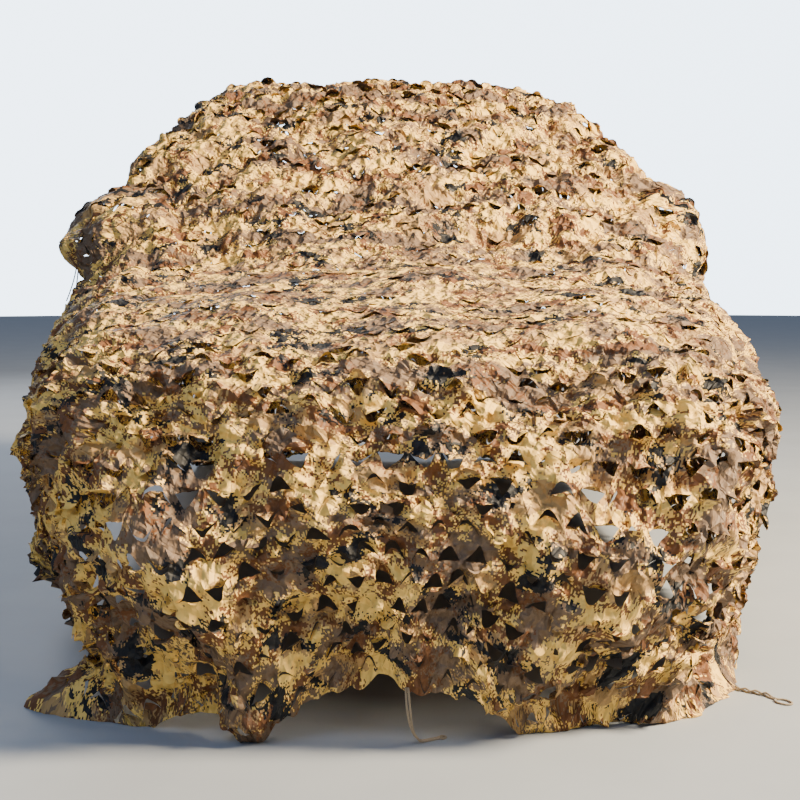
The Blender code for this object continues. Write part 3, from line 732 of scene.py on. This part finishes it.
# The left ear is gathered, so it lies as a thick roll with a blunt end. Near turn 0 the skirt's
# last EAR_LONG, from the depth EAR_FROM, is raised by a half sine to the power EAR_BLUNT. In the
# ear's last EAR_END_LONG metres each share u that is left to the tip becomes u squared.
EAR_WIDE = 0.075
EAR_HIGH = 0.048
EAR_FROM = 0.70
EAR_LONG = 0.30
EAR_BLUNT = 0.3
EAR_TIP = 0.835
EAR_END_LONG = 0.10
EAR_NEAR = 0.3
EAR_UNDER = 0.13
near_ear = np.exp(-((((turns + 2) % 4 - 2) / EAR_WIDE) ** 4))[:, None]
raised = np.sin(np.pi * np.clip((depth - EAR_FROM) / EAR_LONG, 0, 1)) ** EAR_BLUNT
skirt[..., 2] += EAR_HIGH * near_ear * raised
left_to_tip = np.clip((EAR_TIP + skirt[..., 0]) / EAR_END_LONG, 0, 1)
on_ear = (near_ear > EAR_NEAR) & (skirt[..., 2] < EAR_UNDER)
skirt[..., 0] -= np.where(on_ear, EAR_END_LONG * (left_to_tip - left_to_tip**2), 0)

# The hem is cut along the leaves, so it ends in uneven lobes, each a cosine to the power
# LOBE_ROUND. The last HEM_ROWS rows follow it, by a share that grows to the power HEM_RAMP.
HEM_LOBES = 260
LOBE_ROUND = 1.2
HEM_RAMP = 1.5
LOBE_HIGH = (0.003, 0.020)
LOBE_WIDE = (0.016, 0.034)
HEM_ROWS = 8
hem_rng = np.random.default_rng(3)
hem_steps = np.linalg.norm(np.roll(skirt[:, -1], -1, axis=0) - skirt[:, -1], axis=1)
hem_at = np.cumsum(hem_steps) - hem_steps
lobe_at = np.sort(hem_rng.uniform(0, hem_steps.sum(), HEM_LOBES))
lobe_high = hem_rng.uniform(*LOBE_HIGH, HEM_LOBES)
lobe_wide = hem_rng.uniform(*LOBE_WIDE, HEM_LOBES)
off_lobe = np.clip((hem_at[:, None] - lobe_at) / lobe_wide, -1, 1)
lobes = (lobe_high * np.cos(np.pi / 2 * off_lobe) ** LOBE_ROUND).max(axis=1)
down_hem = skirt[:, -1] - skirt[:, -3]
down_hem /= np.linalg.norm(down_hem, axis=1, keepdims=True)
ramp = (np.arange(1, HEM_ROWS + 1) / HEM_ROWS) ** HEM_RAMP
skirt[:, -HEM_ROWS:] += (lobes[:, None] * ramp)[..., None] * down_hem[:, None]

# The cloth is crumpled all over into facets: small folds in random directions, each a wave
# that rises and falls in straight lines, on longer smooth ones. It is calm at the ties.
# Each row is a wave's length, its height and how much of it is such a zigzag.
CRUMPLES = (
    (0.27, 0.0060, 0.0),
    (0.145, 0.0085, 0.7),
    (0.085, 0.0060, 0.9),
    (0.045, 0.0036, 1.0),
    (0.027, 0.0022, 1.0),
)
WAVES_EACH = 7
LENGTHS_VARY = (0.75, 1.3)
LIFT = -0.008
HIGH_MOST = 0.011
CRUMPLES_FULL_AT = 0.04
LEAST_ON_FLOOR = 0.35
CALM_WITHIN = 0.16
LEAST_AT_TIE = 0.1
# It lies flatter on the bonnet, above BONNET_FROM: middle and half sizes of that calmer part.
BONNET_MIDDLE = np.array((0.0, -1.62))
BONNET_HALF = np.array((0.80, 0.52))
BONNET_CALM = 0.75
BONNET_FROM = 0.7
BONNET_RISE = 0.1
TIED_AT = [tie.path[0] for tie in TIES]
crumple_rng = np.random.default_rng(7)
crumple_waves = []
for length, height, creased in CRUMPLES:
    for _ in range(WAVES_EACH):
        way = crumple_rng.normal(size=3)
        way *= crumple_rng.uniform(*LENGTHS_VARY) / np.linalg.norm(way) / length
        start = crumple_rng.uniform(0, 2 * np.pi)
        crumple_waves.append((way, start, height / np.sqrt(WAVES_EACH / 2), creased))


def crumpled(place, normal):
    """Moves each place along its normal by a sum of waves of its position in space. A wave is
    part sine, part a zigzag of the same length: 2 / pi times the arcsine of the sine. What
    stands proud is held under HIGH_MOST by a hyperbolic tangent."""
    high = LIFT
    for way, start, height, creased in crumple_waves:
        sine = np.sin(2 * np.pi * (place @ way) + start)
        high = high + height * ((1 - creased) * sine + creased * 2 / np.pi * np.arcsin(sine))
    high = np.where(high > 0, HIGH_MOST * np.tanh(high / HIGH_MOST), high)
    free = np.clip(place[..., 2] / CRUMPLES_FULL_AT, LEAST_ON_FLOOR, 1)
    off_bonnet = (((place[..., :2] - BONNET_MIDDLE) / BONNET_HALF) ** 2).sum(axis=-1)
    on_top = np.clip((place[..., 2] - BONNET_FROM) / BONNET_RISE, 0, 1)
    free = free * (1 - BONNET_CALM * np.exp(-(off_bonnet**2)) * on_top)
    for tied in TIED_AT:
        off_tie = np.linalg.norm(place - tied, axis=-1)
        free = free * np.clip(off_tie / CALM_WITHIN, LEAST_AT_TIE, 1)
    return place + (high * free)[..., None] * normal


top = crumpled(top, top_normal)
skirt = crumpled(skirt, skirt_normal)


# -------------------- the printed cloth
# Uncoated 150-denier polyester, dull and thin, printed with four inks over a straw ground. The
# print is made of 3.5 mm squares, so each patch ends in a ragged, speckled edge. The cloth is
# pressed into sharp-edged facets about 28 mm wide, with crinkles of about 10 mm in them.
PRINT_SQUARE = 0.0035
PRINT_STRETCH = (0.75, 1.25, 1.0)
GROUND = "#F0C566"
# Patches along a metre, where the clouds start, how finely they branch, how ragged the edge is
# and the level above which the ink prints. A later ink covers an earlier one.
Ink = namedtuple("Ink", "name hex_colour per_metre start branches ragged level")
INKS = [
    Ink("sand", "#AE8A56", 9.0, 3.1, 3.0, 0.08, 0.54),
    Ink("clay", "#735D47", 6.5, 11.7, 4.0, 0.10, 0.52),
    Ink("rust", "#6E4728", 12.0, 23.9, 3.0, 0.17, 0.575),
    Ink("black", "#17181A", 10.0, 57.9, 3.0, 0.09, 0.62),
]
FACETS_PER_METRE = 36.0
FACETS_TURNED = np.radians(28)
CRINKLES_PER_METRE = 95.0
CRINKLES_SHARE = 0.22
FACETS_DEEP = 0.014


def printed_cloth():
    """Each ink is laid over the ground where its patches are. The relief is the distance to
    the middles of the facets, plus CRINKLES_SHARE of that to the middles of the crinkles."""
    material, tree, shader = new_material(
        "printed_polyester_cloth", Roughness=0.62, Specular_IOR_Level=0.35
    )
    flat = add_node(tree, "UVMap", uv_map="laid_flat")
    square = maths(tree, "VectorMath", "SNAP", flat.outputs["UV"], (PRINT_SQUARE,) * 3)
    speck = add_node(tree, "TexWhiteNoise", {"Vector": square}, noise_dimensions="2D")

    def patches(ink):
        """1 where a cloudy noise of the square's place, made ragged by its speck, is high."""
        moved = maths(tree, "VectorMath", "ADD", square, (ink.start, 2 * ink.start, 0.0))
        wide = maths(tree, "VectorMath", "MULTIPLY", moved, PRINT_STRETCH)
        cloud = add_node(
            tree,
            "TexNoise",
            {
                "Vector": wide,
                "Scale": ink.per_metre,
                "Detail": ink.branches,
                "Roughness": 0.62,
            },
            noise_dimensions="2D",
        )
        jitter = maths(
            tree, "Math", "MULTIPLY_ADD", speck.outputs["Value"], ink.ragged, cloud.outputs["Fac"]
        )
        return maths(tree, "Math", "GREATER_THAN", jitter, ink.level + ink.ragged / 2)

    colour = linear(GROUND)
    for ink in INKS:
        colour = mixed(tree, patches(ink), colour, linear(ink.hex_colour))
    tree.links.new(colour, shader.inputs["Base Color"])
    turned = add_node(
        tree,
        "VectorRotate",
        {"Vector": flat.outputs["UV"], "Angle": FACETS_TURNED},
        rotation_type="Z_AXIS",
    )
    facets = add_node(
        tree,
        "TexVoronoi",
        {"Vector": turned.outputs["Vector"], "Scale": FACETS_PER_METRE, "Randomness": 1.0},
        voronoi_dimensions="2D",
        distance="MANHATTAN",
    )
    crinkle = add_node(
        tree,
        "TexVoronoi",
        {"Vector": flat.outputs["UV"], "Scale": CRINKLES_PER_METRE},
        voronoi_dimensions="2D",
    )
    folds = maths(
        tree,
        "Math",
        "MULTIPLY_ADD",
        crinkle.outputs["Distance"],
        CRINKLES_SHARE,
        facets.outputs["Distance"],
    )
    relief = add_node(tree, "Bump", {"Height": folds, "Strength": 1.0, "Distance": FACETS_DEEP})
    tree.links.new(relief.outputs["Normal"], shader.inputs["Normal"])
    return material


cloth = printed_cloth()


# -------------------- the leaf cuts
# Each cut is a bell-shaped slit, its foot ends flared. The cloth inside the bell is a leaf that
# curls out of the sheet about the line between the feet, and leaves an arched gap behind it.
# Cuts point up or down at random, and rows are staggered by half a cut.
CUT_SIZE = (0.067, 0.053)
CUT_TALLEST = 0.058
FOOT = 0.30
LEAF_OUT = 0.026
LEAST_BEND = 0.05
CUPPED = 0.8
GAP_WIDER = 0.0015
LEAST_HIGH = 0.0006
# The cuts stay shut where the cloth is pulled tight round the left mirror.
MIRROR_AT = np.array((-0.93, -0.69, 1.02))
SHUT_WITHIN = 0.25
LEAST_OPEN = 0.15
Leaf = namedtuple("Leaf", "up reach peak skew root tip cup ridge ridge_at twist bow")


def leaves_for(rng, shape, openness):
    """Random leaves, one for each cut: root and tip are angles in radians, bow is in metres
    and the rest are shares. The more open the cloth there, the further they curl."""
    up = rng.random(shape) < 0.5
    inwards = np.where(rng.random(shape) < 0.2, -0.8, 1.0)
    lively = np.clip(openness * rng.normal(1.0, 0.45, shape), 0.08, 1.6)
    relief = np.clip(1.6 * openness, 0.3, 1)
    return Leaf(
        up=up,
        reach=rng.uniform(0.50, 0.64, shape),
        peak=rng.uniform(0.45, 0.95, shape),
        skew=rng.uniform(-0.35, 0.35, shape),
        root=inwards * lively * rng.uniform(0.3, 1.1, shape),
        tip=inwards * lively * rng.uniform(-0.5, 1.9, shape) + 0.05,
        cup=rng.uniform(-0.3, 0.3, shape) * relief,
        ridge=np.clip(rng.normal(0, 0.45, shape), -0.7, 0.7) * relief,
        ridge_at=rng.uniform(-0.35, 0.35, shape),
        twist=np.clip(rng.normal(0, 0.4, shape), -0.6, 0.6) * relief,
        bow=np.clip(rng.normal(0, 0.010, shape), -0.014, 0.014) * relief,
    )


def leaf_cut(piece, seed):
    """Cuts a piece's grid, its first axis along the cuts. Every cut owns a block of steps.
    Grid lines are bent onto the slit FOOT + reach ((1 + cos pi t) / 2)^peak, where t is the
    place a along the cut, moved by skew. The points on it are doubled. The leaf's points at
    distance d from the foot line follow an arc whose angle grows from root to tip, and are
    cupped by (cup a^2 + ridge |a - ridge_at| + twist a) d."""
    name, grid, flat, (steps_along, steps_over), openness, outwards, _ = piece
    slit_row = steps_over * 2 // 3
    columns, rows = grid.shape[0], grid.shape[1]
    column, row = np.meshgrid(np.arange(columns), np.arange(rows), indexing="ij")
    block_row = np.minimum(row // steps_over, rows // steps_over - 1)
    in_row = row - block_row * steps_over
    stagger = (block_row % 2) * (steps_along // 2)
    shifted = column - stagger
    block = shifted // steps_along
    in_block = shifted - block * steps_along
    whole = (shifted >= 0) & ((block + 1) * steps_along + stagger < columns)
    inside = whole & (in_row > 0) & (in_row < steps_over) & (in_block > 0)
    rng = np.random.default_rng(seed)
    shape = (columns // steps_along + 2, rows // steps_over + 1)
    first = np.arange(shape[0])[:, None]
    second = np.arange(shape[1])[None]
    middle_column = np.minimum((first * 2 + 1) * steps_along // 2, columns - 1)
    middle_row = np.minimum((second * 2 + 1) * steps_over // 2, rows - 1)
    from_mirror = np.linalg.norm(grid[middle_column, middle_row] - MIRROR_AT, axis=-1)
    open_here = openness((first + 0.5) * steps_along / columns, (second + 0.5) * steps_over / rows)
    open_here = open_here * np.clip(from_mirror / SHUT_WITHIN, LEAST_OPEN, 1)
    leaves = leaves_for(rng, shape, open_here)
    leaf = Leaf(*(value[np.clip(block, 0, shape[0] - 1), block_row] for value in leaves))

    foot_at = (steps_along - 2) / steps_along
    a = (2 * in_block / steps_along - 1) / foot_at
    t = np.clip((a - leaf.skew) / (1 - leaf.skew * a), -1, 1)
    bell = ((1 + np.cos(np.pi * t)) / 2) ** leaf.peak
    between_feet = np.abs(a) < 1 + 1e-4
    slit = np.where(between_feet, FOOT + leaf.reach * bell, slit_row / steps_over)
    q = np.where(leaf.up, in_row, steps_over - in_row)
    even = q / steps_over
    on_leaf = slit * q / slit_row
    on_band = slit + (1 - slit) * (q - slit_row) / (steps_over - slit_row)
    along_cut = np.gradient(grid, axis=0)
    over_cut = np.gradient(grid, axis=1)
    tall = np.minimum(np.linalg.norm(over_cut, axis=-1) * steps_over, CUT_TALLEST)
    wide = np.linalg.norm(along_cut, axis=-1) * steps_along
    over_way = over_cut / np.linalg.norm(over_cut, axis=-1, keepdims=True)
    out_way = outwards * np.cross(along_cut, over_cut)
    out_way /= np.linalg.norm(out_way, axis=-1, keepdims=True)
    upward = np.where(leaf.up, 1.0, -1.0)

    reach_m = leaf.reach * tall
    d = np.clip(on_leaf - FOOT, 0, None) * tall
    share = d / reach_m
    bend = np.where(np.abs(leaf.tip) < LEAST_BEND, LEAST_BEND, leaf.tip)
    forward = reach_m * (np.sin(leaf.root + bend * share) - np.sin(leaf.root)) / bend
    outward = reach_m * (np.cos(leaf.root) - np.cos(leaf.root + bend * share)) / bend
    cupped = leaf.cup * a**2 + leaf.ridge * np.abs(a - leaf.ridge_at) + leaf.twist * a
    cupped = cupped * d * CUPPED
    leaf_over = (on_leaf - even) * tall + np.where(d > 0, forward - d, 0)
    leaf_out = LEAF_OUT * np.tanh((outward + cupped) / LEAF_OUT)
    middle = np.clip(1 - a**2, 0, 1)
    fade = np.clip((1 - on_band) / (1 - slit), 0, 1)
    band_over = (on_band - even) * tall + GAP_WIDER * middle * fade
    band_out = leaf.bow * middle * fade

    def placed(over, out):
        """The grid moved by `over` across its cut and by `out` off the cloth."""
        return grid + (over * upward)[..., None] * over_way + out[..., None] * out_way

    as_leaf = placed(leaf_over, leaf_out)
    as_band = placed(band_over, band_out)
    leaf_side = q < slit_row
    on_slit = q == slit_row
    base = np.where((leaf_side | (on_slit & leaf.up))[..., None], as_leaf, as_band)
    base = np.where(inside[..., None], base, grid)
    doubled_here = inside & on_slit & (in_block > 1) & (in_block < steps_along - 1)
    other = np.where(leaf.up[..., None], as_band, as_leaf)

    flat_leaf = (on_leaf - even) * upward
    flat_band = (on_band - even) * upward
    flat_shift = np.where(leaf_side | (on_slit & leaf.up), flat_leaf, flat_band) * inside
    flat_other = np.where(leaf.up, flat_band, flat_leaf)
    flat_here = flat_at(flat, column / steps_along, row / steps_over + flat_shift)
    flat_other = flat_at(flat, column / steps_along, row / steps_over + flat_other)

    lower = np.arange(columns * rows).reshape(columns, rows)
    upper = lower.copy()
    upper[doubled_here] = columns * rows + np.arange(doubled_here.sum())
    quads = np.stack([upper[:-1, :-1], upper[1:, :-1], lower[1:, 1:], lower[:-1, 1:]], axis=-1)
    quads = quads.reshape(-1, 4)
    quads = quads if outwards > 0 else quads[:, ::-1]
    points = np.vstack([base.reshape(-1, 3), other[doubled_here]])
    points[:, 2] = np.maximum(points[:, 2], LEAST_HIGH)
    uv = np.vstack([flat_here.reshape(-1, 2), flat_other[doubled_here]])
    return object_from(name, points, quads, cloth, uv)


WIDE, LONG = CUT_SIZE
# The other pieces' flat sizes are counted in cuts.
SIDE_SIZE = (0.62, 4.10)
OPEN_OVER = 0.20
FIRST_SEED = 100
front_end = CUTS_ACROSS * CUT_ACROSS
right_end = front_end + down_cuts * CUT_DOWN
tail_end = right_end + CUTS_ACROSS * CUT_ACROSS
ring = np.concatenate([skirt, skirt[:1]])


def opened_by(start, end):
    """Openness that goes from start to end along a piece's second axis, as a bell curve that
    is OPEN_OVER of the piece wide."""
    return lambda _, second: end + (start - end) * np.exp(-((second / OPEN_OVER) ** 2))


def shut_towards(axis, start, less, after, within):
    """Openness start, less by `less` from a share `after` of one of a piece's two axes on,
    falling evenly over `within`."""
    return lambda *shares: start - less * np.clip((shares[axis] - after) / within, 0, 1)


def flat_at(flat, first_cuts, second_cuts):
    """Flat cloth place in metres, across from the middle and along from the lip: on each axis
    start + way * cuts counted, times a cut's size."""
    (across_from, across_way), (along_from, along_way) = flat
    across = (across_from + across_way * first_cuts) * WIDE
    return np.stack([across, (along_from + along_way * second_cuts) * LONG], axis=-1)


# The cloth is split along rows of cuts, only to keep each piece small enough. Neighbours share
# their edges' points, so no seam shows.
Piece = namedtuple("Piece", "name grid flat steps openness outwards size")
QUARTER = down_cuts // 4
HALF = CUTS_ACROSS / 2
TOP_OPEN = [
    ("net_bonnet", 0.95, 0.08),
    ("net_windscreen", 0.10, 0.42),
    ("net_roof", 0.42, 0.30),
    ("net_tail_slope", 0.25, 0.22),
]
PIECES = [
    Piece(
        name,
        top[:, number * QUARTER * CUT_DOWN : (number + 1) * QUARTER * CUT_DOWN + 1],
        ((-HALF, 1), (number * QUARTER, 1)),
        (CUT_ACROSS, CUT_DOWN),
        opened_by(start, end),
        1,
        (CUTS_ACROSS * WIDE, QUARTER * LONG),
    )
    for number, (name, start, end) in enumerate(TOP_OPEN)
]
SKIRT_CUT = (CUT_ACROSS, SKIRT_STEPS)
SIDE_CUT = (SKIRT_STEPS, CUT_DOWN)
SKIRT_SIZE = (CUTS_ACROSS * WIDE, CUTS_SKIRT * LONG)
front = ring[: front_end + 1]
right = ring[front_end : right_end + 1].transpose(1, 0, 2)
tail = ring[right_end : tail_end + 1]
left = ring[tail_end:].transpose(1, 0, 2)
front_open = shut_towards(1, start=1.15, less=0.90, after=0.78, within=0.17)
tail_open = opened_by(0.35, 0.35)
side_open = shut_towards(0, start=0.5, less=0.38, after=0.6, within=0.2)
PIECES += [
    Piece("net_front", front, ((-HALF, 1), (0, -1)), SKIRT_CUT, front_open, -1, SKIRT_SIZE),
    Piece("net_tail", tail, ((HALF, -1), (down_cuts, 1)), SKIRT_CUT, tail_open, -1, SKIRT_SIZE),
    Piece("net_right_side", right, ((HALF, 1), (0, 1)), SIDE_CUT, side_open, 1, SIDE_SIZE),
    Piece("net_left_side", left, ((-HALF, -1), (down_cuts, -1)), SIDE_CUT, side_open, 1, SIDE_SIZE),
]
for number, piece in enumerate(PIECES):
    sheet = leaf_cut(piece, FIRST_SEED + number)
    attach(sheet, "root")
    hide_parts("net")
